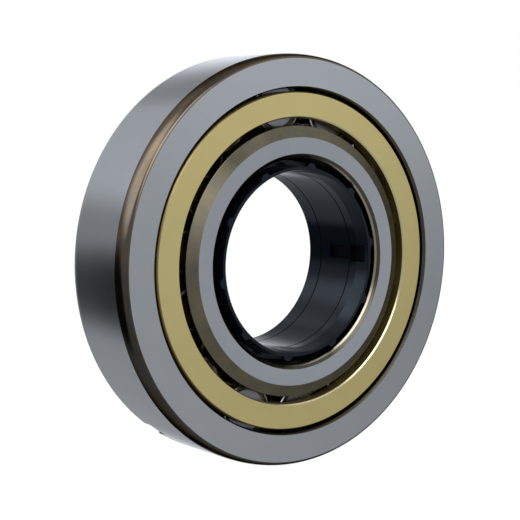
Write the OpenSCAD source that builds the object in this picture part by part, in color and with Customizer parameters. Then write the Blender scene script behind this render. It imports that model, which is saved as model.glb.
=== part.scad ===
// Cylindrical roller bearing with flanges on both rings, a loose flange ring, a riveted
// two-piece brass cage and a plastic sleeve that keeps the bore together until mounting.
// The bearing axis lies along Y, the front side faces -Y, and the origin is at the
// bearing's middle. Pieces are turned about a local Z axis whose +Z end is the front.

/* [Bearing] */
// Bore diameter of the inner ring
bore_d = 40; // [30:0.5:48]
// Outside diameter of the outer ring
outside_d = 80; // [76:0.5:100]
// Width of the rings
ring_w = 18; // [15:0.5:26]

/* [Rollers] */
// Diameter of each roller
roller_d = 11; // [8:0.1:13.2]
// Length of each roller
roller_len = 11; // [7:0.1:12]
// Radius of the roller's end corners
roller_corner = 0.4; // [0.1:0.05:0.8]
// Distance of the roller circle outside the middle of the ring section
pitch_offset = 0.25; // [-0.5:0.05:0.5]
// Direction of the first roller, anticlockwise from the right
first_roller_angle = 95.5; // [0:0.1:360]

/* [Clearances] */
// Radial gap between a roller and each raceway
race_gap = 0.02; // [0.01:0.005:0.05]
// End gap between a roller and each flange
flange_gap = 0.05; // [0.02:0.01:0.15]
// Radial gap between a roller and its cage pocket
pocket_gap = 0.1; // [0.05:0.05:0.3]
// End gap between a roller and the cage's side rings
cage_end_gap = 0.15; // [0.06:0.01:0.3]
// Radial gap around the rivets in the cage cover
rivet_gap = 0.02; // [0.01:0.01:0.05]
// Radial gap between the sleeve's land and the bore
sleeve_fit = 0.03; // [0.01:0.005:0.05]

/* [Outer ring] */
// Height of the outer ring's flanges above its raceway
outer_flange_h = 2.37; // [1:0.01:3]
// Length of the front corner along the axis
front_corner_len = 3.2; // [1:0.1:4]
// Depth of the front corner along the radius
front_corner_drop = 0.96; // [0.5:0.01:1.5]
// Radius of the back corner
back_corner = 1.1; // [0.5:0.1:2]
// Width of the chamfer at the flange bores along the radius
flange_chamfer_width = 0.3; // [0.1:0.05:0.5]
// Length of the chamfer at the flange bores along the axis
flange_chamfer_len = 0.7; // [0.1:0.05:1]
// Width of each locating slot
slot_w = 4.4; // [3:0.1:8]
// Length of each locating slot along the axis
slot_len = 3; // [1.5:0.1:5]
// Depth of each locating slot along the radius
slot_depth = 3; // [1.5:0.1:3.5]
// Fillet radius at the end of each locating slot, at most a little less than half its width
slot_fillet = 0.6; // [0.3:0.1:3]
// Direction of the lower slot seen from the front, anticlockwise from the right
slot_angle = 234.4; // [0:0.1:359.9]

/* [Inner ring] */
// Height of the inner ring's flanges above its raceway
inner_flange_h = 1.53; // [0.8:0.01:2]
// Width of the turned cone along the radius
cone_width = 2.26; // [1:0.01:3]
// Depth of the turned cone along the axis
cone_depth = 0.96; // [0.4:0.01:1.5]
// Width of the bore's chamfer along the radius
bore_chamfer_width = 0.85; // [0.3:0.01:1]
// Length of the bore's chamfer along the axis
bore_chamfer_len = 0.9; // [0.3:0.01:1.5]

/* [Raceway relief] */
// Width of the relief groove where a raceway meets a flange
relief_w = 0.7; // [0.4:0.05:1]
// Depth of the relief groove
relief_depth = 0.3; // [0.1:0.05:0.5]

/* [Cage] */
// Radial gap between the cage and the inner ring's flanges
cage_inner_gap = 1.5; // [0.5:0.01:2]
// Radial gap between the cage and the outer ring's flanges
cage_outer_gap = 0.64; // [0.3:0.01:1.5]
// Distance of the cage's side rings behind the bearing's faces
cage_recess = 0.54; // [0.45:0.01:1.5]
// Chamfer on the edges of the cage's side rings
cage_chamfer = 0.25; // [0.1:0.05:0.5]
// Diameter of each rivet
rivet_d = 1.6; // [1:0.1:2]
// Diameter of each rivet head
rivet_head_d = 2.4; // [1.8:0.1:2.8]
// Height of each rivet head
rivet_head_h = 0.3; // [0.2:0.05:0.35]
// Distance from the cage's outside to the rivet circle
rivet_edge = 1.3; // [1:0.05:2]

/* [Sleeve] */
// Radial gap between the bore and the sleeve's front collar
collar_gap = 1.6; // [0.8:0.1:2]
// Wall of the sleeve's front collar behind its flared mouth
collar_wall = 1.1; // [0.7:0.05:1.5]
// Length of the sleeve's front collar
collar_len = 5.1; // [3:0.1:7]
// Distance of the sleeve's ends behind the bearing's faces
sleeve_recess = 0.1; // [0:0.05:1]
// Number of teeth around the collar's front rim
tooth_count = 10; // [4:1:16]
// Height of each tooth
tooth_h = 0.8; // [0.3:0.05:1]
// Length of each tooth along the axis
tooth_len = 0.9; // [0.5:0.1:3]
// Width of each tooth at its root
tooth_root_w = 2.3; // [1.2:0.1:4]
// Width of each tooth at its tip
tooth_tip_w = 1.1; // [0.6:0.1:3]
// Direction of the first tooth, anticlockwise from the right
tooth_angle = 81; // [0:0.1:360]
// Distance of the back groove inside the sleeve from the sleeve's back end
back_groove_offset = 3.8; // [2:0.1:6]
// Width of the fine grooves inside the sleeve
groove_w = 0.3; // [0.1:0.05:0.5]
// Depth of the fine grooves inside the sleeve
groove_depth = 0.12; // [0.05:0.01:0.3]
// Flare of the collar's mouth along the radius
mouth_flare = 0.5; // [0.05:0.05:0.6]
// Length of the collar's flared mouth
mouth_len = 3; // [0.3:0.1:4]
// Depth of the grip pockets
pocket_depth = 0.6; // [0.1:0.05:0.6]
// Width of the rear grip pocket
rear_pocket_w = 2.4; // [1:0.1:4]
// Length of the rear grip pocket
rear_pocket_len = 5.8; // [3:0.1:8]
// Width of the front grip pocket
front_pocket_w = 3; // [2:0.1:6]
// Length of the front grip pocket
front_pocket_len = 3.8; // [2:0.1:4.4]
// Direction of the grip pockets, anticlockwise from the right
pocket_angle = 1.5; // [0:0.5:359]

/* [Hidden] */
roller_count = 14;
slot_count = 2;
$fn = 96;
arc_steps = 6;                                       // straight steps in each rounded corner
eps = 0.01;                                          // overrun of a cut past a face

half_w = ring_w / 2;
bore_r = bore_d / 2;
outside_r = outside_d / 2;

pitch_r = (bore_r + outside_r) / 2 + pitch_offset;   // circle of the roller axes
roller_r = roller_d / 2;
roller_pitch = 360 / roller_count;
inner_race_r = pitch_r - roller_r - race_gap;
outer_race_r = pitch_r + roller_r + race_gap;
flange_z = roller_len / 2 + flange_gap;              // inner faces of the flanges

outer_flange_r = outer_race_r - outer_flange_h;
inner_flange_r = inner_race_r + inner_flange_h;

cage_in_r = inner_flange_r + cage_inner_gap;
cage_out_r = outer_flange_r - cage_outer_gap;
cage_z = roller_len / 2 + cage_end_gap;              // inner faces of the side rings
cage_end = half_w - cage_recess;                     // outer faces of the side rings
rivet_circle_r = cage_out_r - rivet_edge;
bar_angle = roller_pitch / 2;                        // a bar stands midway between rollers

sleeve_end = half_w - sleeve_recess;
collar_r = bore_r - collar_gap;
sleeve_in_r = collar_r - collar_wall;
land_r = bore_r - sleeve_fit;
collar_z = sleeve_end - collar_len;                  // where the collar meets the land
land_chamfer = 0.4;
back_groove_z = -sleeve_end + back_groove_offset;

STEEL = "lightsteelblue";
BRASS = "goldenrod";
PLASTIC = "dimgray";

// Puts a piece turned about local Z into the bearing's frame, front towards -Y.
module on_axis() {
    rotate([90, 0, 0]) children();
}

// Points of a quarter ellipse from angle a to angle b about [x, z].
function corner(x, z, rx, rz, a, b) =
    [for (i = [0:arc_steps]) let (t = a + (b - a) * i / arc_steps)
        [x + rx * cos(t), z + rz * sin(t)]];

// Solid of revolution from an outline of [radius, height] points.
module turned(outline) {
    rotate_extrude() polygon(outline);
}

// A ring of rectangular section with four equal chamfers.
module chamfered_ring(r1, r2, z1, z2, c) {
    turned([
        [r1 + c, z1], [r2 - c, z1], [r2, z1 + c], [r2, z2 - c],
        [r2 - c, z2], [r1 + c, z2], [r1, z2 - c], [r1, z1 + c]
    ]);
}

// A slot in the back outer edge that stops the outer ring from turning in its housing.
module locating_slot() {
    run = outside_r - slot_depth;
    least_flat = 0.1;
    fillet = min(slot_fillet, min(slot_w / 2, slot_len) - least_flat);
    translate([run, -slot_w / 2, -half_w - eps])
        cube([slot_depth + eps, slot_w, slot_len - fillet + eps]);
    translate([run, fillet - slot_w / 2, -half_w - eps])
        cube([slot_depth + eps, slot_w - 2 * fillet, slot_len + eps]);
    for (side = [-1, 1])
        translate([run, side * (slot_w / 2 - fillet), -half_w + slot_len - fillet])
            rotate([0, 90, 0]) cylinder(r = fillet, h = slot_depth + eps);
}

module outer_ring() {
    mouth_r = outer_flange_r + flange_chamfer_width;
    mouth_z = half_w - flange_chamfer_len;
    relief_r = outer_race_r + relief_depth;
    color(STEEL) on_axis() difference() {
        turned(concat(
            [[outer_flange_r, mouth_z], [outer_flange_r, flange_z]],
            [[relief_r, flange_z], [relief_r, flange_z - relief_w],
             [outer_race_r, flange_z - relief_w], [outer_race_r, relief_w - flange_z],
             [relief_r, relief_w - flange_z], [relief_r, -flange_z]],
            [[outer_flange_r, -flange_z], [outer_flange_r, -mouth_z], [mouth_r, -half_w]],
            corner(outside_r - back_corner, back_corner - half_w,
                back_corner, back_corner, -90, 0),
            corner(outside_r - front_corner_drop, half_w - front_corner_len,
                front_corner_drop, front_corner_len, 0, 90),
            [[mouth_r, half_w]]
        ));
        for (i = [0:slot_count - 1]) rotate([0, 0, slot_angle + i * 360 / slot_count])
            locating_slot();
    }
}

// The front flange is part of this ring, and its raceway runs out at the back.
module inner_ring() {
    relief_r = inner_race_r - relief_depth;
    color(STEEL) on_axis() turned(
        [[bore_r, -flange_z], [inner_race_r, -flange_z], [inner_race_r, flange_z - relief_w],
         [relief_r, flange_z - relief_w], [relief_r, flange_z], [inner_flange_r, flange_z],
         [inner_flange_r, half_w - cone_depth], [inner_flange_r - cone_width, half_w],
         [bore_r + bore_chamfer_width, half_w], [bore_r, half_w - bore_chamfer_len]]);
}

// The separate back flange, held against the inner ring on the shaft.
module loose_flange_ring() {
    color(STEEL) on_axis() turned(
        [[bore_r, -flange_z], [bore_r, bore_chamfer_len - half_w],
         [bore_r + bore_chamfer_width, -half_w], [inner_flange_r - cone_width, -half_w],
         [inner_flange_r, cone_depth - half_w], [inner_flange_r, -flange_z]]);
}

// Front side ring, bars and rivets turned and milled from one piece of brass.
module cage_comb() {
    color(BRASS) on_axis() {
        difference() {
            chamfered_ring(cage_in_r, cage_out_r, -cage_z, cage_end, cage_chamfer);
            for (i = [1:roller_count]) at_roller(i)
                translate([0, 0, -cage_z - eps])
                    cylinder(r = roller_r + pocket_gap, h = 2 * cage_z + eps);
        }
        for (i = [1:roller_count]) rotate([0, 0, roller_angle(i) + bar_angle])
            translate([rivet_circle_r, 0, 0]) rivet();
    }
}

// A rivet grows from a bar's end, goes through the cover and ends in a turned head.
module rivet() {
    root = 1;
    translate([0, 0, -cage_end - eps])
        cylinder(d = rivet_d, h = cage_end - cage_z + root + eps, $fn = 24);
    translate([0, 0, -cage_end - rivet_head_h])
        cylinder(d1 = rivet_head_d - 2 * rivet_head_h, d2 = rivet_head_d,
            h = rivet_head_h, $fn = 24);
}

// Back side ring of the cage, riveted to the comb.
module cage_cover() {
    color(BRASS) on_axis() difference() {
        chamfered_ring(cage_in_r, cage_out_r, -cage_end, -cage_z, cage_chamfer);
        for (i = [1:roller_count]) rotate([0, 0, roller_angle(i) + bar_angle])
            translate([rivet_circle_r, 0, -half_w])
                cylinder(d = rivet_d + 2 * rivet_gap, h = ring_w, $fn = 24);
    }
}

function roller_angle(i) = first_roller_angle - (i - 1) * roller_pitch;

// Places its children on the axis of roller i, counted clockwise from the top.
module at_roller(i) {
    rotate([0, 0, roller_angle(i)]) translate([pitch_r, 0, 0]) children();
}

module roller(i) {
    c = roller_corner;
    end = roller_len / 2;
    color(STEEL) on_axis() at_roller(i) turned(concat(
        [[0, -end]],
        corner(roller_r - c, c - end, c, c, -90, 0),
        corner(roller_r - c, end - c, c, c, 0, 90),
        [[0, end]]
    ));
}

// A tooth on the sleeve's front rim that points outwards.
module tooth() {
    sink = collar_wall / 2;
    translate([0, 0, sleeve_end - tooth_len]) linear_extrude(tooth_len) polygon([
        [collar_r - sink, -tooth_root_w / 2], [collar_r + tooth_h, -tooth_tip_w / 2],
        [collar_r + tooth_h, tooth_tip_w / 2], [collar_r - sink, tooth_root_w / 2]
    ]);
}

// A shallow rectangular pocket in the sleeve's inside wall, from height z upwards.
module grip_pocket(z, len, w) {
    inset = 1;
    translate([sleeve_in_r - inset, -w / 2, z]) cube([inset + pocket_depth, w, len]);
}

module transport_sleeve() {
    g = groove_w / 2;
    color(PLASTIC) on_axis() difference() {
        union() {
            turned([
                [sleeve_in_r, -sleeve_end], [land_r - land_chamfer, -sleeve_end],
                [land_r, land_chamfer - sleeve_end], [land_r, collar_z - land_chamfer],
                [land_r - land_chamfer, collar_z], [collar_r, collar_z],
                [collar_r, sleeve_end], [sleeve_in_r + mouth_flare, sleeve_end],
                [sleeve_in_r, sleeve_end - mouth_len],
                [sleeve_in_r, collar_z + g], [sleeve_in_r + groove_depth, collar_z],
                [sleeve_in_r, collar_z - g],
                [sleeve_in_r, back_groove_z + g], [sleeve_in_r + groove_depth, back_groove_z],
                [sleeve_in_r, back_groove_z - g]
            ]);
            for (i = [0:tooth_count - 1])
                rotate([0, 0, tooth_angle + i * 360 / tooth_count]) tooth();
        }
        rotate([0, 0, pocket_angle]) {
            grip_pocket(collar_z - groove_w - rear_pocket_len, rear_pocket_len, rear_pocket_w);
            grip_pocket(collar_z + groove_w, front_pocket_len, front_pocket_w);
        }
    }
}

outer_ring();
inner_ring();
loose_flange_ring();
cage_comb();
cage_cover();
transport_sleeve();
roller(1);  // roller_01
roller(2);  // roller_02
roller(3);  // roller_03
roller(4);  // roller_04
roller(5);  // roller_05
roller(6);  // roller_06
roller(7);  // roller_07
roller(8);  // roller_08
roller(9);  // roller_09
roller(10);  // roller_10
roller(11);  // roller_11
roller(12);  // roller_12
roller(13);  // roller_13
roller(14);  // roller_14
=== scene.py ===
import math
import bpy
import numpy as np
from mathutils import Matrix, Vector


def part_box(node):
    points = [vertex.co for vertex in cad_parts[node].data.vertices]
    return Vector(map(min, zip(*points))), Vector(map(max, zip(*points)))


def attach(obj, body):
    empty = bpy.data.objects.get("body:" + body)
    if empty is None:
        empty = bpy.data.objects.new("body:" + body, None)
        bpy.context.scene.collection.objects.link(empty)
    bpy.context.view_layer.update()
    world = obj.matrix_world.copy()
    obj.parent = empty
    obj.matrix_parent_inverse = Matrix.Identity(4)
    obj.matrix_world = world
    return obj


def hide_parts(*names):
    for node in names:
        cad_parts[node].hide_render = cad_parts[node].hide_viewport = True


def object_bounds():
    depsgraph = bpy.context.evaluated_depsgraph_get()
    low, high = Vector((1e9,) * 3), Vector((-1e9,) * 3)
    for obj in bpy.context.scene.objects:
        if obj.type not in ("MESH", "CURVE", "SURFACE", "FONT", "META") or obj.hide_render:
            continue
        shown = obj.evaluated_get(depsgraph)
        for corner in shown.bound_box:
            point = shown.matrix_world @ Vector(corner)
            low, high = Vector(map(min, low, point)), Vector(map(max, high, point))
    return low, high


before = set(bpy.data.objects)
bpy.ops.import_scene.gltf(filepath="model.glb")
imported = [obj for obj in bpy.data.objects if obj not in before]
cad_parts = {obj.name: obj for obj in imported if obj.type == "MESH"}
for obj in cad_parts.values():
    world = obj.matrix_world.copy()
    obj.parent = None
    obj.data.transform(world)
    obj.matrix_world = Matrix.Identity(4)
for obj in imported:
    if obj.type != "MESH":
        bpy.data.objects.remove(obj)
cadBox = [list(corner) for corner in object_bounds()]
print("frame loaded with", len(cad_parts), "nodes")

mm = 0.001
scene = bpy.context.scene
scene.view_settings.view_transform = "Standard"
scene.view_settings.look = "None"

cameraView = {
    "lens": 94.62,                                  # mm, on a 36 mm sensor
    "place": (-0.16696, -0.21152, 0.02726),         # metres from the bearing's middle
    "forward": (0.6097, 0.7861, -0.1018),
}


def makeCamera(view):
    data = bpy.data.cameras.new("studioCamera")
    data.lens = view["lens"]
    data.sensor_width = 36
    data.clip_start = 0.01
    camera = bpy.data.objects.new("studioCamera", data)
    scene.collection.objects.link(camera)
    camera.location = view["place"]
    camera.rotation_euler = Vector(view["forward"]).to_track_quat("-Z", "Y").to_euler()
    scene.camera = camera


makeCamera(cameraView)
print("camera ready")


# Wraps a socket, so that shader maths on values reads as Python.
class Wire:
    def __init__(self, tree, socket):
        self.tree = tree
        self.socket = socket

    def maths(self, operation, first, second=None):
        return self.tree.node("ShaderNodeMath", {"operation": operation}, [first, second])

    def __add__(self, other):
        return self.maths("ADD", self, other)

    def __mul__(self, other):
        return self.maths("MULTIPLY", self, other)

    def __sub__(self, other):
        return self.maths("SUBTRACT", self, other)

    def __rsub__(self, other):
        return self.maths("SUBTRACT", other, self)

    __radd__ = __add__
    __rmul__ = __mul__


# A node tree that is filled one node at a time.
class Tree:
    def __init__(self, owner):
        owner.use_nodes = True
        self.nodes = owner.node_tree.nodes
        self.links = owner.node_tree.links
        self.nodes.clear()

    # Adds a node, makes its settings, then fills its sockets with values or wires.
    def node(self, kind, settings=None, values=None, out=0):
        made = self.nodes.new(kind)
        for key, value in (settings or {}).items():
            setattr(made, key, value)
        pairs = values.items() if isinstance(values, dict) else enumerate(values or [])
        for key, value in pairs:
            if isinstance(value, Wire):
                self.links.new(value.socket, made.inputs[key])
            elif value is not None:
                made.inputs[key].default_value = value
        return Wire(self, made.outputs[out] if made.outputs else None)


# Each panel is a soft-edged round light: azimuth and elevation of its middle in degrees,
# azimuth 0 along +Y and 90 along +X, its inner and outer angular radius, and its level.
studio = {
    "ground": 0.34,                                 # level of the dim room
    "tint": (0.93, 0.98, 1.06),
    "panels": {
        "backdrop": (22, 0, 12, 30, 0.85),
        "leftBack": (-60, 38, 14, 33, 1.40),
        "front": (-172, 21, 7, 19, 1.26),
        "frontRight": (135, 31, 19, 40, 0.36),
        "leftFront": (-148, 48, 14, 34, 1.8),
        "topBack": (-22, 38, 18, 28, 0.25),
        "lowFront": (168, -18, 13, 50, 0.15),
        "lowBack": (-10, -25, 16, 36, 0.08),
    },
    "darkCorner": (-42, -15, 12, 23, 0.93),         # how much of the light it takes away
}


# The unit vector to an azimuth and an elevation, from the sines and cosines of both.
def direction(azimuth, elevation):
    a, e = math.radians(azimuth), math.radians(elevation)
    return (math.sin(a) * math.cos(e), math.cos(a) * math.cos(e), math.sin(e))


# One from the middle of a panel to its inner radius, falling smoothly to none at its outer one.
def panelMask(tree, look, azimuth, elevation, inner, outer):
    facing = tree.node("ShaderNodeVectorMath", {"operation": "DOT_PRODUCT"},
                       [look, direction(azimuth, elevation)], "Value")
    return tree.node("ShaderNodeMapRange", {"interpolation_type": "SMOOTHSTEP"}, [
        facing, math.cos(math.radians(outer)), math.cos(math.radians(inner)), 0.0, 1.0])


# The camera sees plain white. Everything else is lit by the dim room plus the panels, less the
# dark corner, in a cool tint.
def makeWorld(settings):
    world = bpy.data.worlds.new("studio")
    scene.world = world
    tree = Tree(world)
    look = tree.node("ShaderNodeTexCoord", out="Generated")
    light = settings["ground"]
    for azimuth, elevation, inner, outer, level in settings["panels"].values():
        light = panelMask(tree, look, azimuth, elevation, inner, outer) * level + light
    *shape, taken = settings["darkCorner"]
    light = light * (1 - panelMask(tree, look, *shape) * taken)
    soft = tree.node("ShaderNodeVectorMath", {"operation": "SCALE"},
                     {0: settings["tint"], "Scale": light})
    white = tree.node("ShaderNodeBackground", None, [(1, 1, 1, 1), 1.0])
    glow = tree.node("ShaderNodeBackground", None, [soft, 1.0])
    seen = tree.node("ShaderNodeLightPath", out="Is Camera Ray")
    both = tree.node("ShaderNodeMixShader", None, [seen, glow, white])
    tree.node("ShaderNodeOutputWorld", None, [both])


# A flat white floor under the bearing, which glows a little and isn't mirrored in the metal.
def makeFloor():
    size, height = 3.0, cadBox[0][2]
    mesh = bpy.data.meshes.new("floor")
    mesh.from_pydata([(-size, -size, height), (size, -size, height),
                      (size, size, height), (-size, size, height)], [], [(0, 1, 2, 3)])
    floor = bpy.data.objects.new("floor", mesh)
    scene.collection.objects.link(floor)
    floor.visible_glossy = False
    paint = bpy.data.materials.new("floorPaint")
    tree = Tree(paint)
    matt = tree.node("ShaderNodeBsdfDiffuse", None, [(0.9, 0.9, 0.9, 1)])
    glow = tree.node("ShaderNodeEmission", None, [(1, 1, 1, 1), 1.09])
    both = tree.node("ShaderNodeMixShader", None, [0.9, matt, glow])
    tree.node("ShaderNodeOutputMaterial", None, [both])
    mesh.materials.append(paint)


makeWorld(studio)
makeFloor()
print("stage ready")


# A finish has a colour, a roughness, how strongly the turning marks show and how many there are
# per metre, how far the face is dished, which is the slope that it gives the reflections, and
# how cloudy it is. It is metal, unless "metal" is 0. Some finishes add the tint of their
# reflections seen edge-on, of their stains or of the painted shade on the bearing's bottom half,
# or an "ior".
finishes = {
    "groundFace": {"colour": (0.52, 0.53, 0.53), "rough": 0.24, "lay": 0.05, "marks": 9000,
                   "dish": -0.05, "mottle": 0.05},
    "groundInnerFace": {"colour": (0.52, 0.53, 0.54), "rough": 0.24, "lay": 0.05, "marks": 9000,
                        "dish": 0.05, "mottle": 0.05},
    "groundOutside": {"colour": (0.52, 0.53, 0.53), "rough": 0.16, "lay": 0.05, "marks": 7000,
                      "dish": 0, "mottle": 0.04},
    "racewaySteel": {"colour": (0.20, 0.18, 0.15), "rough": 0.2, "lay": 0.03, "marks": 7000,
                     "dish": 0, "mottle": 0.1},
    "brownTurned": {"colour": (0.125, 0.118, 0.098), "rough": 0.24, "lay": 0.3, "marks": 4000,
                    "dish": 0, "mottle": 0.5, "edge": (0.24, 0.24, 0.24), "stain": (1.35, 1.1, 0.78)},
    "cornerTurned": {"colour": (0.185, 0.16, 0.13), "rough": 0.1, "lay": 0.2, "marks": 4000,
                     "dish": 0, "mottle": 0.35, "edge": (0.24, 0.24, 0.24),
                     "stain": (1.3, 1.05, 0.75), "lower": (0.45, 0.52, 0.58)},
    "mouthSteel": {"colour": (0.17, 0.17, 0.16), "rough": 0.24, "lay": 0.2, "marks": 4000,
                   "dish": 0, "mottle": 0.3, "edge": (0.4, 0.4, 0.4)},
    "coneTurned": {"colour": (0.165, 0.148, 0.108), "rough": 0.24, "lay": 0.2, "marks": 4000,
                   "dish": 0, "mottle": 0.35, "edge": (0.3, 0.3, 0.3), "stain": (1.2, 1.1, 0.9)},
    # The slot's walls: near black, painted shade.
    "slotSteel": {"colour": (0.012, 0.012, 0.012), "rough": 0.5, "lay": 0.1, "marks": 2000,
                  "dish": 0, "mottle": 0.1, "edge": (0.02, 0.02, 0.02)},
    "brass": {"colour": (0.80, 0.66, 0.28), "rough": 0.36, "lay": 0.06, "marks": 6000,
              "dish": -0.035, "mottle": 0.05},
    "brassCut": {"colour": (0.52, 0.40, 0.17), "rough": 0.3, "lay": 0.2, "marks": 3000,
                 "dish": 0, "mottle": 0.12},
    # The cage's side cylinders, deep in the gaps: rough brass painted darker, as painted shade.
    "brassSide": {"colour": (0.36, 0.25, 0.07), "rough": 0.6, "lay": 0.1, "marks": 3000,
                  "dish": 0, "mottle": 0.1},
    "brassEdge": {"colour": (0.95, 0.85, 0.52), "rough": 0.2, "lay": 0.05, "marks": 3000,
                  "dish": 0, "mottle": 0.05},
    "rollerSteel": {"colour": (0.60, 0.60, 0.60), "rough": 0.12, "lay": 0.03, "marks": 8000,
                    "dish": 0, "mottle": 0.02},
    # Roller ends: the flat and the recess floor are painted darker than the steel, as painted shade.
    "rollerEnd": {"colour": (0.05, 0.045, 0.04), "rough": 0.25, "lay": 0.1, "marks": 8000,
                  "dish": 0, "mottle": 0.1, "edge": (0.1, 0.1, 0.1)},
    "rollerFloor": {"colour": (0.30, 0.29, 0.30), "rough": 0.3, "lay": 0.1, "marks": 8000,
                    "dish": 0, "mottle": 0.1},
    "boreEdge": {"colour": (0.55, 0.48, 0.34), "rough": 0.2, "lay": 0.1, "marks": 4000,
                 "dish": 0, "mottle": 0.2},
    "blackPlastic": {"colour": (0.003, 0.0045, 0.007), "metal": 0, "rough": 0.12, "lay": 0.03,
                     "marks": 900, "dish": 0, "mottle": 0.1, "ior": 1.34,
                     "edge": (0.82, 1.0, 1.12)},
    # The sleeve's grooves and pockets: near black, painted shade in the creases and recesses.
    "plasticShade": {"colour": (0.001, 0.0012, 0.0015), "metal": 0, "rough": 0.5, "lay": 0.03,
                     "marks": 900, "dish": 0, "mottle": 0.1, "ior": 1.15},
}


# Turning marks are noise that is very fine across the turned surface and long around the axis:
# the noise is read at the unit circle's point for the angle, and at radius plus height.
def turnedNoise(tree, place, marks, around):
    flat = tree.node("ShaderNodeVectorMath", {"operation": "MULTIPLY"}, [place, (1, 0, 1)])
    radius = tree.node("ShaderNodeVectorMath", {"operation": "LENGTH"}, [flat], "Value")
    circle = tree.node("ShaderNodeVectorMath", {"operation": "NORMALIZE"}, [flat])
    split = tree.node("ShaderNodeSeparateXYZ", None, [circle])
    depth = tree.node("ShaderNodeSeparateXYZ", None, [place], "Y")
    west = tree.node("ShaderNodeSeparateXYZ", None, [circle], "Z")
    across = (radius + depth * 0.83) * marks
    spot = tree.node("ShaderNodeCombineXYZ", None, [split * around, across, west * around])
    noise = tree.node("ShaderNodeTexNoise", {"noise_dimensions": "3D"},
                      {"Vector": spot, "Scale": 1.0, "Detail": 3.0, "Roughness": 0.6})
    return noise, radius


# Turning marks and clouds shade the colour and the roughness, and the bump's height is the marks
# plus the radius times the dish.
def makeFinish(name, values):
    paint = bpy.data.materials.new(name)
    tree = Tree(paint)
    place = tree.node("ShaderNodeTexCoord", out="Object")
    if name.startswith("roller"):
        place = tree.node("ShaderNodeAttribute", {"attribute_name": "ownPlace"}, out="Vector")
    marks, radius = turnedNoise(tree, place, values["marks"], 2.2)
    cloud = tree.node("ShaderNodeTexNoise", None, {
        "Vector": place, "Scale": 160.0, "Detail": 4.0, "Roughness": 0.6})
    shade = (marks - 0.5) * values["lay"] + (cloud - 0.5) * values["mottle"] * 2
    colour = tree.node("ShaderNodeVectorMath", {"operation": "SCALE"},
                       {0: values["colour"], "Scale": shade + 1.0})
    if "stain" in values:
        patches = tree.node("ShaderNodeTexNoise", None, {
            "Vector": place, "Scale": 420.0, "Detail": 3.0, "Roughness": 0.7})
        spread = tree.node("ShaderNodeMapRange", None, [patches, 0.42, 0.66, 0.0, 1.0])
        stained = tree.node("ShaderNodeVectorMath", {"operation": "MULTIPLY"},
                            [colour, values["stain"]])
        colour = tree.node("ShaderNodeMix", {"data_type": "VECTOR"},
                           {0: spread, 4: colour, 5: stained}, 1)
    if "lower" in values:
        # The ring's bottom half is painted darker and less warm than its upper half: painted shade.
        up = tree.node("ShaderNodeSeparateXYZ", None, [place], "Z")
        low = tree.node("ShaderNodeMapRange", {"interpolation_type": "SMOOTHSTEP"},
                        [up, 0.012, -0.012, 0.0, 1.0])
        shaded = tree.node("ShaderNodeVectorMath", {"operation": "MULTIPLY"},
                          [colour, values["lower"]])
        colour = tree.node("ShaderNodeMix", {"data_type": "VECTOR"},
                           {0: low, 4: colour, 5: shaded}, 1)
    rough = shade * 0.5 + values["rough"]
    height = (marks - 0.5) * 0.0000012 * (1 + 10 * values["lay"]) + radius * values["dish"]
    bump = tree.node("ShaderNodeBump", None, {"Strength": 1.0, "Distance": 1.0, "Height": height})
    skin = tree.node("ShaderNodeBsdfPrincipled", None, {
        "Base Color": colour, "Metallic": float(values.get("metal", 1)), "Roughness": rough,
        "Specular Tint": (*values.get("edge", (1, 1, 1)), 1), "IOR": values.get("ior", 1.5),
        "Normal": bump})
    tree.node("ShaderNodeOutputMaterial", None, [skin])
    return paint


paints = {name: makeFinish(name, values) for name, values in finishes.items()}
print("finishes ready:", len(paints))


# Rounds each corner (radius, height, rounding, finish) of a closed outline with an arc that
# touches both its edges, and adds a supporting point just beyond each end of the arc.
def softOutline(corners, steps=4):
    points = np.array([corner[:2] for corner in corners], float)
    made, finish = [], []
    for i, (_, _, rounding, name) in enumerate(corners):
        here = points[i]
        before, after = points[i - 1] - here, points[(i + 1) % len(points)] - here
        lengths = np.linalg.norm(before), np.linalg.norm(after)
        if rounding == 0 or min(lengths) == 0:
            made.append(here[None])
            finish.append(name)
            continue
        before, after = before / lengths[0], after / lengths[1]
        half = math.acos(np.clip(before @ after, -1, 1)) / 2
        reach = min(rounding / math.tan(half), 0.3 * min(lengths))
        first, last = here + before * reach, here + after * reach
        middle = here + (before + after) * reach / (1 + before @ after)
        turn = math.pi - 2 * half
        t = np.linspace(0, 1, steps + 1)[:, None]
        arc = middle + (np.sin((1 - t) * turn) * (first - middle)
                        + np.sin(t * turn) * (last - middle)) / math.sin(turn)
        made.append(np.vstack([here + before * reach * 1.5, arc, here + after * reach * 1.5]))
        finish += [corners[i - 1][3]] + [name] * (steps + 2)
    return np.vstack(made), finish


# Points of an ellipse's arc about (radius, height), as outline corners without rounding.
def ellipse(radius, height, across, along, start, stop, finish, steps=10):
    t = np.radians(np.linspace(start, stop, steps + 1))
    return [(radius + across * math.cos(a), height + along * math.sin(a), 0, finish) for a in t]


# Turns radii, heights and angles, all whole arrays, into points in metres. Height runs along
# the bearing's axis towards the front, which is -Y, and angle 0 is +X.
def turnedPoints(radius, height, angle):
    radius, height, angle = np.broadcast_arrays(radius, height, angle)
    return np.stack([radius * np.cos(angle), -height, radius * np.sin(angle)], -1) * mm


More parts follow.
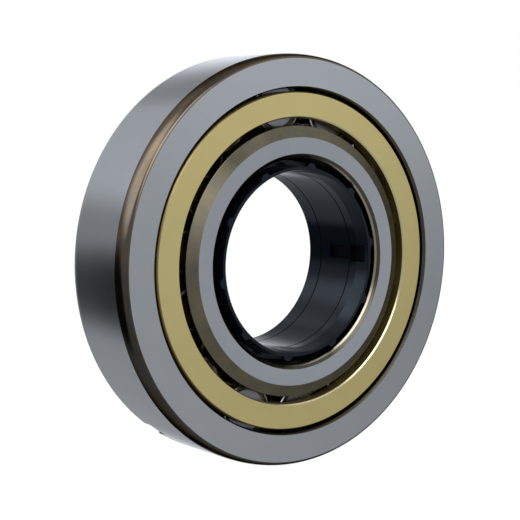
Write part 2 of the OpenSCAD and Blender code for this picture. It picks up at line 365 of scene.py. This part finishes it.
# A closed shell from a grid of points: rows along the outline, columns around. Both directions
# wrap, or the rows end in two poles. Faces point outwards, as the shell's volume tells.
def gridShell(points, finish, poles=None):
    rows, cols = points.shape[:2]
    number = np.arange(rows * cols).reshape(rows, cols)
    below = number if poles is None else number[:-1]
    above = np.roll(number, -1, 0) if poles is None else number[1:]
    quads = np.stack([below, np.roll(below, -1, 1), np.roll(above, -1, 1), above], -1)
    faces = quads.reshape(-1, 4).tolist()
    kinds = np.repeat(np.array(finish)[:len(below)], cols).tolist()
    verts = points.reshape(-1, 3)
    if poles is not None:
        first, last = rows * cols, rows * cols + 1
        verts = np.vstack([verts, poles])
        ahead = np.roll(number, -1, 1)
        faces += np.stack([np.full(cols, first), ahead[0], number[0]], -1).tolist()
        faces += np.stack([np.full(cols, last), number[-1], ahead[-1]], -1).tolist()
        kinds += [finish[0]] * cols + [finish[-1]] * cols
    return outward(verts, faces, kinds)


# Turns every face round if the shell's volume, summed over its triangles, is less than nothing.
def outward(verts, faces, kinds):
    corners = np.array([face[:3] for face in faces])
    extra = np.array([[face[0], face[2], face[-1]] for face in faces if len(face) == 4])
    tris = np.vstack([corners, extra.reshape(-1, 3).astype(int)])
    a, b, c = verts[tris[:, 0]], verts[tris[:, 1]], verts[tris[:, 2]]
    if np.einsum("ij,ij->i", a, np.cross(b, c)).sum() < 0:
        faces = [face[::-1] for face in faces]
    return verts, faces, kinds


# A ring turned from a closed outline of corners.
def turnedShell(corners, columns):
    outline, finish = softOutline(corners)
    angle = np.linspace(0, 2 * math.pi, columns, endpoint=False)
    return gridShell(turnedPoints(outline[:, :1], outline[:, 1:], angle[None]), finish)


# Joins shells into one mesh object, which rides on a body and stands for CAD nodes.
def makePiece(name, shells, body, node, ownPlace=None, sharp=28):
    names = sorted({kind for shell in shells for kind in shell[2]})
    starts = np.cumsum([0] + [len(shell[0]) for shell in shells])
    verts = np.vstack([shell[0] for shell in shells])
    faces = [[v + start for v in face] for shell, start in zip(shells, starts.tolist())
             for face in shell[1]]
    kinds = [names.index(kind) for shell in shells for kind in shell[2]]
    mesh = bpy.data.meshes.new(name)
    mesh.from_pydata(verts.tolist(), [], faces)
    mesh.polygons.foreach_set("material_index", kinds)
    mesh.polygons.foreach_set("use_smooth", [True] * len(faces))
    mesh.set_sharp_from_angle(angle=math.radians(sharp))
    for kind in names:
        mesh.materials.append(paints[kind])
    if ownPlace is not None:
        own = mesh.attributes.new("ownPlace", "FLOAT_VECTOR", "POINT")
        own.data.foreach_set("vector", (verts - ownPlace).astype(np.float32).ravel())
    mesh.validate()
    mesh.update()
    piece = bpy.data.objects.new(name, mesh)
    scene.collection.objects.link(piece)
    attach(piece, body)
    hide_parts(node)
    return piece


def reachOf(node):
    low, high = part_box(node)
    return high.x / mm, -low.y / mm, high.y / mm    # radius, front height, back depth


outerRadius, halfWidth, _ = reachOf("outer_ring")
outerRing = {
    "faceInner": 33.7, "flangeBore": 33.4, "mouthLen": 0.7, "flangeInside": 5.55, "raceway": 35.77,
    "reliefDepth": 0.3, "reliefWidth": 0.7, "edge": 0.06,
    "frontCornerLen": 3.2, "frontCornerDrop": 0.96, "backCorner": 1.1,
    "slotWidth": 4.4, "slotLen": 3.0, "slotDepth": 3.0, "slotFillet": 0.6,
    "slotAngles": (234.4, 54.4), "slotRoom": 7.0, "columns": 360,
}


# Angles and sideways offsets of the columns around: evenly spaced, and near each slot set by
# their distance from its middle line, so that its walls come out flat and parallel.
def slotColumns(o):
    even = np.arange(0, 360, 360 / o["columns"])
    side = o["slotWidth"] / 2
    bend = side - o["slotFillet"] * (1 - np.sin(np.radians(np.linspace(0, 90, 13))))
    half = np.concatenate([np.linspace(0, side - o["slotFillet"], 4)[:-1], bend[:-1],
                           [side - 0.01, side + 0.01, side + 0.15, side + 0.5]])
    offsets = np.concatenate([-half[:0:-1], half])
    middle, offset = [], []
    for slot in o["slotAngles"]:
        away = np.abs((even - slot + 180) % 360 - 180)
        even = even[away > o["slotRoom"]]
    for slot in o["slotAngles"]:
        middle.append(np.full(len(offsets), slot))
        offset.append(offsets)
    middle = np.concatenate([even] + middle)
    offset = np.concatenate([np.zeros(len(even))] + offset)
    order = np.argsort((middle + np.degrees(offset / outerRadius)) % 360)
    return np.radians(middle[order]), offset[order], np.isin(middle, o["slotAngles"])[order]


# The ring's outline, turned about the axis. In a slot's columns the stretch over the back corner
# runs down, along and up instead, with a circle's arc at each side of the slot's end. A column
# keeps its sideways offset at every radius: its angle is the arcsine of offset over radius.
def makeOuterRing(o):
    front, wide, edge = halfWidth, outerRadius, o["edge"]
    bore, mouth, c = o["flangeBore"], o["faceInner"], o["mouthLen"]
    inside, race = o["flangeInside"], o["raceway"]
    relief, groove = race + o["reliefDepth"], inside - o["reliefWidth"]
    corners = [
        (wide, -front + 5.5, 0, "groundOutside"),
        *ellipse(wide - o["frontCornerDrop"], front - o["frontCornerLen"], o["frontCornerDrop"],
                 o["frontCornerLen"], 0, 84, "cornerTurned", 14),
        (wide - o["frontCornerDrop"] - 0.04, front, 0, "groundFace"),
        (wide - o["frontCornerDrop"] - 0.15, front, 0, "groundFace"),
        (mouth, front, edge, "mouthSteel"), (bore, front - c, edge, "brownTurned"),
        (bore, inside, 0.1, "racewaySteel"), (relief, inside, 0, "racewaySteel"),
        (relief, groove, 0, "racewaySteel"), (race, groove, 0.05, "racewaySteel"),
        (race, -groove, 0.05, "racewaySteel"), (relief, -groove, 0, "racewaySteel"),
        (relief, -inside, 0, "racewaySteel"), (bore, -inside, 0.1, "brownTurned"),
        (bore, c - front, edge, "brownTurned"), (mouth, -front, edge, "groundFace"),
        (mouth + 0.8, -front, 0, "groundFace"),
    ]
    shared, finish = softOutline(corners)
    inner, outer = shared[-1], shared[0]
    # The stretch over the back outer corner: plain, and cut away as in a slot.
    cut = o["backCorner"]
    corner = np.array([point[:2] for point in ellipse(wide - cut, cut - front, cut, cut, -90, 0, "")])
    plain = np.vstack([np.linspace(inner, corner[0], 9)[1:], corner[1:],
                       np.linspace(corner[-1], outer, 10)[1:-1]])
    middle, offset, near = slotColumns(o)
    depth = wide - o["slotDepth"]
    past = np.maximum(np.abs(offset) - (o["slotWidth"] / 2 - o["slotFillet"]), 0)
    end = o["slotLen"] - o["slotFillet"] + np.sqrt(
        np.maximum(o["slotFillet"] ** 2 - np.minimum(past, o["slotFillet"]) ** 2, 0))
    stops = np.stack([
        np.stack([np.full(end.shape, depth), np.full(end.shape, -front)], -1),
        np.stack([np.full(end.shape, depth), end - front], -1),
        np.stack([np.full(end.shape, wide), end - front], -1)], 1)
    t = [np.linspace(0, 1, n)[1:, None, None] for n in (9, 8, 6)]
    sunk = np.concatenate([
        inner + (stops[None, :, 0] - inner) * t[0],
        stops[None, :, 0] + (stops[None, :, 1] - stops[None, :, 0]) * t[1],
        stops[None, :, 1] + (stops[None, :, 2] - stops[None, :, 1]) * t[2],
        stops[None, :, 2] + (outer - stops[None, :, 2])
        * np.linspace(0, 1, len(plain) - 18)[1:-1, None, None]])
    within = near & (np.abs(offset) < o["slotWidth"] / 2)
    extra = np.where(within[None, :, None], sunk, plain[:, None])
    grid = np.concatenate([np.repeat(shared[:, None], len(middle), 1), extra])
    radius, height = grid[..., 0], grid[..., 1]
    angle = middle + np.arcsin(offset / radius)
    finish += ["groundFace"] * 18 + ["groundOutside"] * (len(plain) - 18)
    verts, faces, kinds = gridShell(turnedPoints(radius, height, angle), finish)
    # Faces that cross from the slot's cut stretch to its surroundings are its walls, painted near
    # black as painted shade.
    kinds = np.array(kinds).reshape(len(finish), -1)
    inside = within | np.roll(within, -1)
    kinds[len(shared) + 7:len(shared) + 19, inside] = "slotSteel"
    return verts, faces, kinds.ravel().tolist()


makePiece("outer_ring_fine", [makeOuterRing(outerRing)], "outer", "outer_ring")
print("outer ring ready")


flangeRadius, innerFront, _ = reachOf("inner_ring")
innerRings = {
    "bore": 20.0, "chamferWidth": 0.85, "chamferLen": 0.9, "coneWidth": 2.26,
    "coneDepth": 0.96, "raceway": 24.73, "flangeInside": 5.55, "reliefDepth": 0.3,
    "reliefWidth": 0.7, "edge": 0.06, "columns": 360,
}


# Bore, raceway, relief groove, flange, cone, face and bore chamfer, turned about the axis.
def makeInnerRing(i):
    front, inside, land = halfWidth, i["flangeInside"], flangeRadius
    bore, race, relief = i["bore"], i["raceway"], i["raceway"] - i["reliefDepth"]
    corners = [
        (bore, -inside, 0.1, "racewaySteel"), (race, -inside, 0.1, "racewaySteel"),
        (race, inside - i["reliefWidth"], 0.05, "racewaySteel"),
        (relief, inside - i["reliefWidth"], 0, "racewaySteel"),
        (relief, inside, 0, "racewaySteel"), (land, inside, 0.1, "brownTurned"),
        (land, front - i["coneDepth"], 0.12, "coneTurned"),
        (land - i["coneWidth"], front, i["edge"], "groundInnerFace"),
        (bore + i["chamferWidth"], front, 0.12, "brownTurned"),
        (bore + i["chamferWidth"] * 0.45, front - i["chamferLen"] * 0.55, 0, "boreEdge"),
        (bore, front - i["chamferLen"], 0.3, "racewaySteel"),
        (bore, front - i["chamferLen"] - 1, 0, "racewaySteel"),
    ]
    return turnedShell(corners, i["columns"])


# A plain ring with a cone at its rim and a chamfer in its bore, turned about the axis.
def makeLooseFlange(i):
    back, inside, land, bore = -halfWidth, -i["flangeInside"], flangeRadius, i["bore"]
    corners = [
        (land, inside, 0.1, "racewaySteel"), (bore, inside, 0.1, "racewaySteel"),
        (bore, back + i["chamferLen"], 0.3, "brownTurned"),
        (bore + i["chamferWidth"], back, 0.12, "groundInnerFace"),
        (land - i["coneWidth"], back, i["edge"], "brownTurned"),
        (land, back + i["coneDepth"], 0.12, "brownTurned"),
    ]
    return turnedShell(corners, i["columns"])


makePiece("inner_ring_fine", [makeInnerRing(innerRings)], "inner", "inner_ring")
makePiece("loose_flange_ring_fine", [makeLooseFlange(innerRings)], "inner",
          "loose_flange_ring")
print("inner rings ready")


rollers = {"corner": 0.4, "recess": 4.1, "recessDepth": 0.2, "recessEdge": 0.3, "columns": 96}
rollerNodes = sorted(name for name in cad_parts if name.startswith("roller_"))


# Outline from the middle of one end to the other: a shallow recess with a chamfered edge, a
# flat, a rounded corner, the side, and the same again.
def makeRoller(node, r):
    low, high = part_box(node)
    middle = (low + high) / 2
    end = (high.y - low.y) / 2 / mm
    radius = max(high.x - low.x, high.z - low.z) / 2 / mm
    c, recess, floor = r["corner"], r["recess"], end - r["recessDepth"]
    upper = [(recess * t, floor) for t in (0.3, 0.6, 0.95)]
    upper += [(recess, floor), (recess + r["recessEdge"], end), (radius - c - 0.2, end)]
    # The recess floor and the end's flat are painted darker than the roller's steel, as painted
    # shade.
    finish = ["rollerFloor"] * 3 + ["rollerSteel"] + ["rollerEnd"] * 2
    arc = np.radians(np.linspace(90, 0, 7))
    upper += [(radius - c + c * math.cos(a), end - c + c * math.sin(a)) for a in arc]
    upper += [(radius, end - c - 0.3), (radius, end * 0.3)]
    finish += ["rollerSteel"] * 9
    outline = np.vstack([upper, np.array(upper[::-1]) * (1, -1)])
    finish += ["rollerSteel"] * 9 + ["rollerEnd"] + ["rollerSteel"] + ["rollerFloor"] * 4
    angle = np.linspace(0, 2 * math.pi, r["columns"], endpoint=False)
    place = np.array(middle)
    points = turnedPoints(outline[:, :1], outline[:, 1:], angle[None]) + place
    poles = np.array([[0, -floor, 0], [0, floor, 0]]) * mm + place
    makePiece(node + "_fine", [gridShell(points, finish, poles)], node, node, place)


for node in rollerNodes:
    makeRoller(node, rollers)
print("rollers ready:", len(rollerNodes))


cageOut, cageFront, rivetBack = reachOf("cage_comb")
_, _, cageBack = reachOf("cage_cover")
cage = {
    "inner": 27.76, "outer": 32.76, "chamfer": 0.25, "edge": 0.05, "ringInside": 5.65,
    "pitch": 30.25, "pocket": 5.6, "rivetCircle": 31.46, "rivetRadius": 1.2, "rivetSink": 0.3,
    "columns": 360,
}


# A rectangle with its four corners cut off, turned about the axis.
def cageRing(c, back, front, finish):
    inner, outer, cut = c["inner"], c["outer"], c["chamfer"]
    # The inside and outside cylinders are painted in darker brass: painted shade in the gaps.
    corners = [
        (inner + cut, front, c["edge"], finish), (outer - cut, front, c["edge"], "brassCut"),
        (outer, front - cut, c["edge"], "brassSide"), (outer, back + cut, c["edge"], "brassCut"),
        (outer - cut, back, c["edge"], finish), (inner + cut, back, c["edge"], "brassCut"),
        (inner, back + cut, c["edge"], "brassSide"), (inner, front - cut, c["edge"], "brassEdge"),
    ]
    return turnedShell(corners, c["columns"])


# Half the angle that a bar takes at a radius: half the roller pitch, less the angle at which
# the pocket's circle crosses that radius.
def barHalfAngle(c, radius):
    pitch = c["pitch"]
    cross = (radius ** 2 + pitch ** 2 - c["pocket"] ** 2) / (2 * radius * pitch)
    return math.pi / len(rollerNodes) - np.arccos(cross)


# A bar's section runs up one pocket wall, round the outside, down the other and back round the
# inside, and is carried along the axis between two flat ends.
def cageBar(c, angle):
    r = np.linspace(c["inner"] + 0.05, c["outer"] - 0.05, 15)
    half = barHalfAngle(c, r)
    t = np.linspace(-1, 1, 7)[1:-1]
    radius = np.concatenate([r, np.full(5, r[-1]), r[::-1], np.full(5, r[0])])
    around = np.concatenate([half, -t * half[-1], -half[::-1], t * half[0]])
    heights = np.linspace(-c["ringInside"], c["ringInside"] + 0.2, 5)[:, None]
    points = turnedPoints(radius[None], heights, angle + around[None])
    rows, cols = points.shape[:2]
    number = np.arange(rows * cols).reshape(rows, cols)
    ahead = np.roll(number, -1, 1)
    faces = np.stack([number[:-1], ahead[:-1], ahead[1:], number[1:]], -1).reshape(-1, 4)
    faces = faces.tolist() + [number[0][::-1].tolist(), number[-1].tolist()]
    return points.reshape(-1, 3), faces, ["brassCut"] * len(faces)


# A low dome over each bar's end, on the back of the cover.
def rivetHead(c, angle):
    top, sink = rivetBack - cageBack, c["rivetSink"]
    t = np.radians(np.linspace(0, 80, 7))
    radius = c["rivetRadius"] * np.cos(t)
    height = -(cageBack + top * np.sin(t) / math.sin(t[-1]))
    radius = np.concatenate([[c["rivetRadius"] * 0.8, c["rivetRadius"]], radius])
    height = np.concatenate([[sink - cageBack, sink - cageBack], height])
    spin = np.linspace(0, 2 * math.pi, 24, endpoint=False)
    centre = np.array([c["rivetCircle"] * math.cos(angle), 0,
                       c["rivetCircle"] * math.sin(angle)]) * mm
    points = turnedPoints(radius[:, None], height[:, None], spin[None]) + centre
    poles = centre + np.array([[0, cageBack - sink, 0], [0, rivetBack, 0]]) * mm
    return gridShell(points, ["brassCut"] * len(radius), poles)


# The direction of a roller's middle around the axis, as the arctangent of its place.
def rollerAngle(node):
    low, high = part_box(node)
    middle = (low + high) / 2
    return math.atan2(middle.z, middle.x)


# The comb is the front ring with a bar and a rivet head between each two rollers, and the cover
# is the back ring.
def makeCage(c):
    bars = [rollerAngle(node) + math.pi / len(rollerNodes) for node in rollerNodes]
    comb = [cageRing(c, c["ringInside"], cageFront, "brass")]
    comb += [outward(*cageBar(c, angle)) for angle in bars]
    comb += [rivetHead(c, angle) for angle in bars]
    makePiece("cage_comb_fine", comb, "cage", "cage_comb")
    cover = [cageRing(c, -cageBack, -c["ringInside"], "brass")]
    makePiece("cage_cover_fine", cover, "cage", "cage_cover")


makeCage(cage)
print("cage ready")


landRadius, sleeveFront, sleeveBack = reachOf("transport_sleeve")
sleeve = {
    "inner": 17.3, "collar": 18.4, "collarStep": 3.8, "landChamfer": 0.4, "mouthFlare": 0.5,
    "mouthLen": 3.0, "grooveWidth": 0.3, "grooveDepth": 0.12, "backGroove": -5.1,
    "teeth": 10, "toothHeight": 0.8, "toothLen": 0.9, "toothTip": 1.1, "toothRoot": 2.3,
    "toothAngle": 81.0, "pocketFloor": 17.9, "pocketAngle": 1.5,
    "pockets": ((-2.3, 3.5, 2.4), (4.1, 7.9, 3.0)),    # from height, to height, width
    "columns": 720,
}


# One inside a span and none outside, with a ramp of the given width at each end.
def plateau(value, half, ramp):
    return np.clip((half + ramp / 2 - np.abs(value)) / ramp, 0, 1)


# The sleeve's outline is turned about the axis, and then each point's radius grows: by the tooth
# height on the rim's teeth, and to the pocket's floor on the inside wall.
def makeSleeve(s):
    inner, collar, step = s["inner"], s["collar"], s["collarStep"]
    front, back, land = sleeveFront, -sleeveBack, landRadius
    g, bevel, paint = s["grooveWidth"] / 2, s["landChamfer"], "blackPlastic"
    mouth = front - s["mouthLen"]
    # The inside wall's heights: both sides of each pocket's ends, the mouth and the grooves.
    wall = {edge + side: (inner, 0, paint) for pocket in s["pockets"] for edge in pocket[:2]
            for side in (0.02, -0.02)}
    wall.update({6.8: (inner, 0, paint), mouth: (inner, 0.4, paint),
                 2: (inner, 0, paint), 0: (inner, 0, paint)})
    for groove in (step, s["backGroove"]):
        # Each groove's rows are painted near black: painted shade in the crease.
        wall[groove + g] = (inner, 0, "plasticShade")
        wall[groove] = (inner + s["grooveDepth"], 0, "plasticShade")
        wall[groove - g] = (inner, 0, paint)
    flare = s["mouthFlare"] / s["mouthLen"]
    wall = [(r + flare * max(h - mouth, 0), h, rounding, kind)
            for h, (r, rounding, kind) in sorted(wall.items(), reverse=True)]
    corners = [
        (collar, front - s["toothLen"] - 0.02, 0, paint),
        (collar + 0.001, front - s["toothLen"], 0, paint),
        (collar + 0.001, front - 0.06, 0, paint),
        (collar - 0.04, front, 0, paint),
        (collar - 0.06, front, 0, paint),
        (inner + s["mouthFlare"], front, 0.08, paint),
        *wall,
        (inner, back, 0.15, paint), (land - bevel, back, 0.1, paint),
        (land, back + bevel, 0.1, paint), (land, step - bevel, 0.1, paint),
        (land - bevel, step, 0.1, paint), (collar, step, 0.15, paint),
    ]
    outline, finish = softOutline(corners)
    angle = np.linspace(0, 2 * math.pi, s["columns"], endpoint=False)[None]
    radius, height = outline[:, :1], outline[:, 1:]
    turn = 2 * math.pi / s["teeth"]
    side = ((angle - math.radians(s["toothAngle"]) + turn / 2) % turn - turn / 2) * collar
    ramp = (s["toothRoot"] - s["toothTip"]) / 2
    tooth = plateau(side, (s["toothRoot"] + s["toothTip"]) / 4, ramp)
    rim = (radius > collar - 0.05) & (height > front - s["toothLen"] - 0.01) & (radius < land - 1)
    radius = radius + rim * tooth * s["toothHeight"]
    turned = (angle - math.radians(s["pocketAngle"]) + math.pi) % (2 * math.pi) - math.pi
    onWall = (outline[:, :1] < s["pocketFloor"] - 0.05) & (height < front - 0.2)
    sunk = np.zeros(radius.shape)
    for low, high, width in s["pockets"]:
        along = plateau(height - (low + high) / 2, (high - low) / 2, 0.04)
        across = plateau(turned * inner, width / 2, 0.16)
        sunk = sunk + onWall * along * across
    radius = radius + np.maximum(s["pocketFloor"] - radius, 0) * sunk
    verts, faces, kinds = gridShell(turnedPoints(radius, height, angle), finish)
    kinds = np.array(kinds).reshape(len(finish), -1)
    # The pockets' faces are painted near black: painted shade in the recess.
    cut = (sunk > 0.01) | (np.roll(sunk, -1, 0) > 0.01)
    kinds[cut | np.roll(cut, -1, 1)] = "plasticShade"
    shell = verts, faces, kinds.ravel().tolist()
    makePiece("transport_sleeve_fine", [shell], "sleeve", "transport_sleeve")


makeSleeve(sleeve)
print("sleeve ready")
